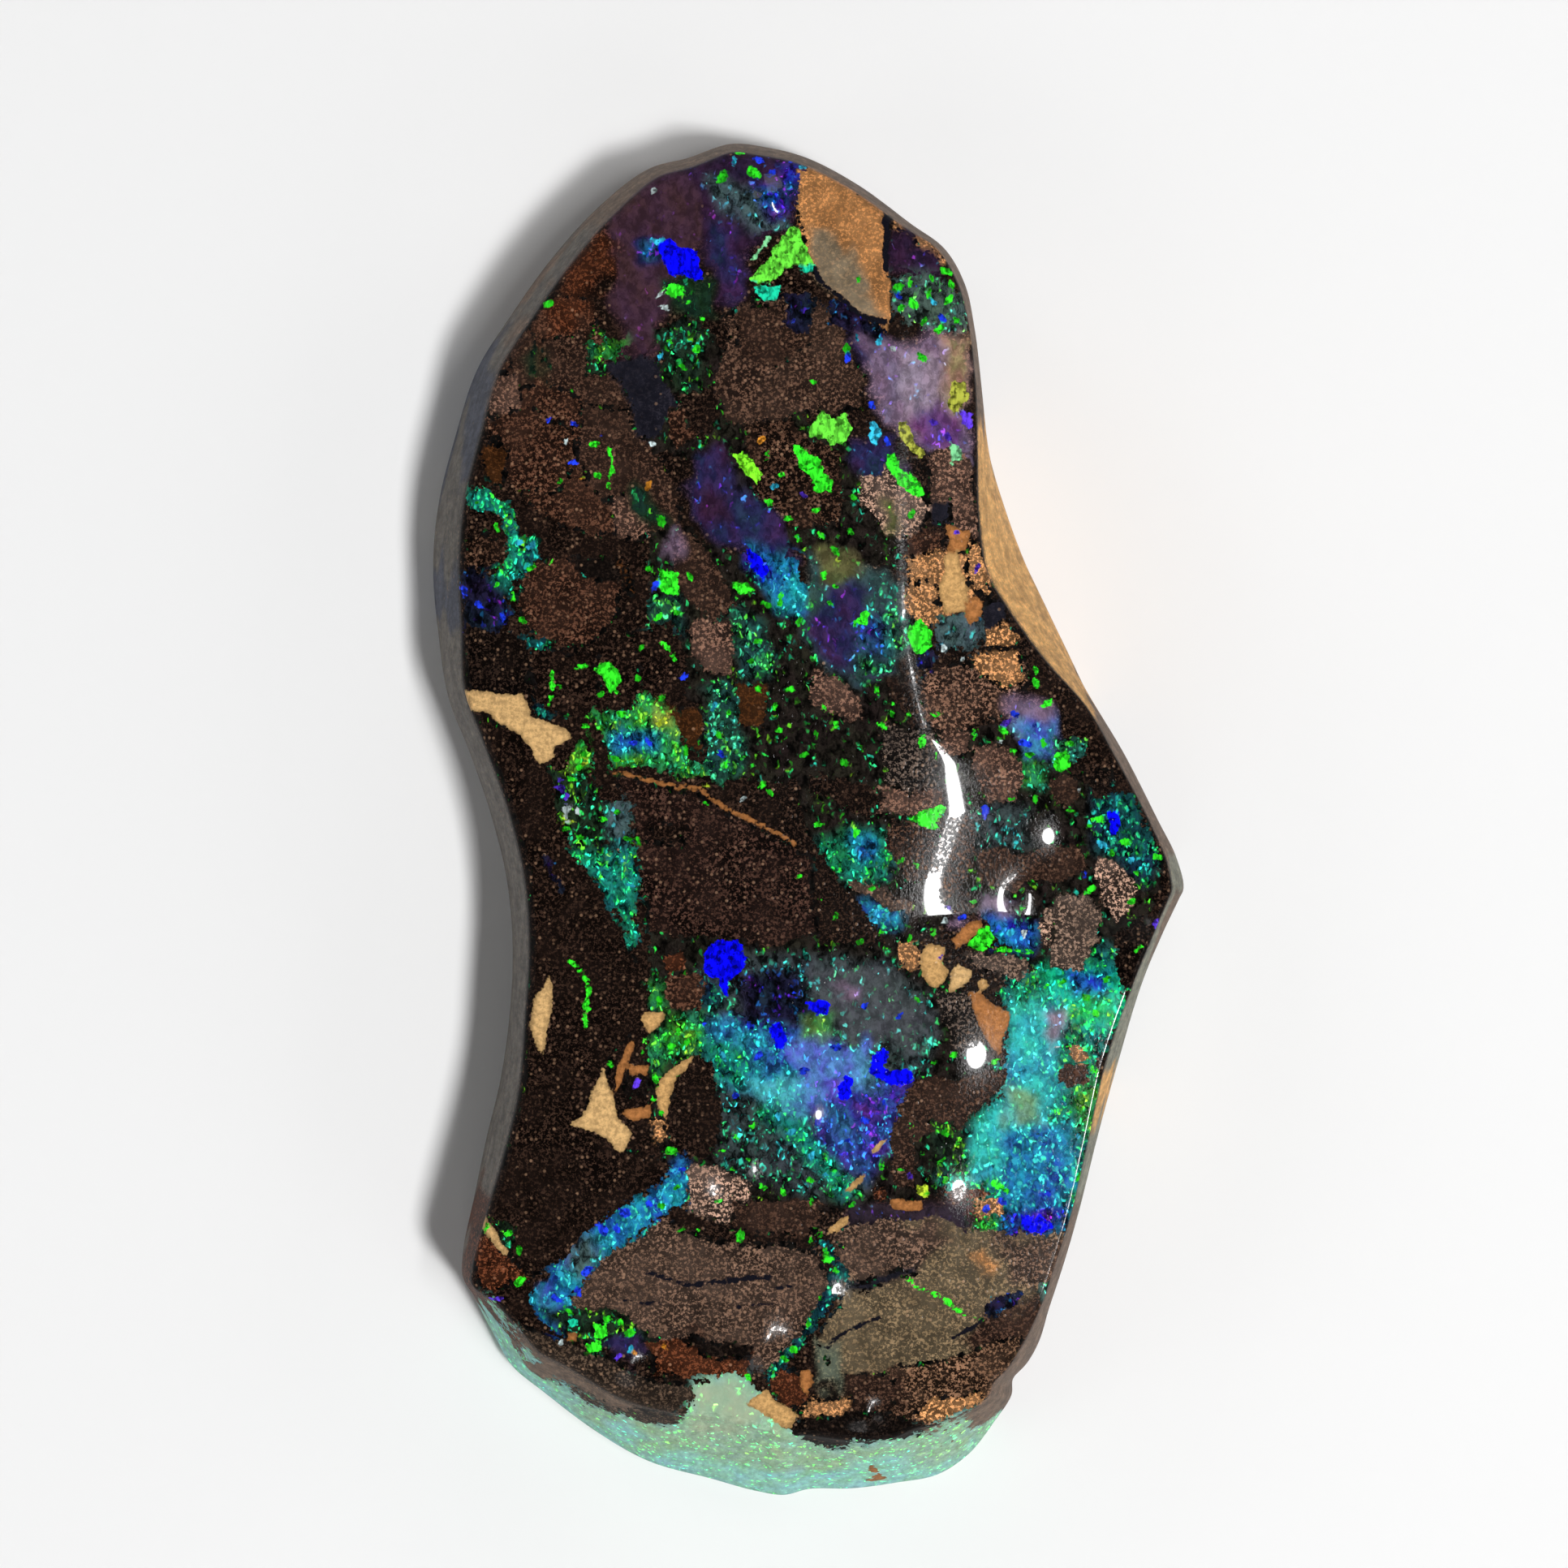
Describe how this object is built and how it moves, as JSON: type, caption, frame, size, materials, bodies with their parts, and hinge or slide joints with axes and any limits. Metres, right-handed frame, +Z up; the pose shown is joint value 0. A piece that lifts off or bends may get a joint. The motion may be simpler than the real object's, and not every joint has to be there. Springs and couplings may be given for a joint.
{
  "type": "polished boulder opal",
  "caption": "Freeform flat-backed boulder opal with a polished face of dark ironstone fragments and coloured opal, lying on its back.",
  "frame": {"origin": "centre of the footprint's bounding rectangle, on the flat back that the stone rests on", "axes": "+Z up through the polished face, +Y along the stone's length towards its narrower end, +X across it towards the side with the pointed corner"},
  "size_m": [0.024, 0.043, 0.0073],
  "materials": {
    "stone": "polished dark brown ironstone with green, teal and blue opal"
  },
  "bodies": {
    "root": {"boulder_opal": "stone"}
  },
  "joints": []
}
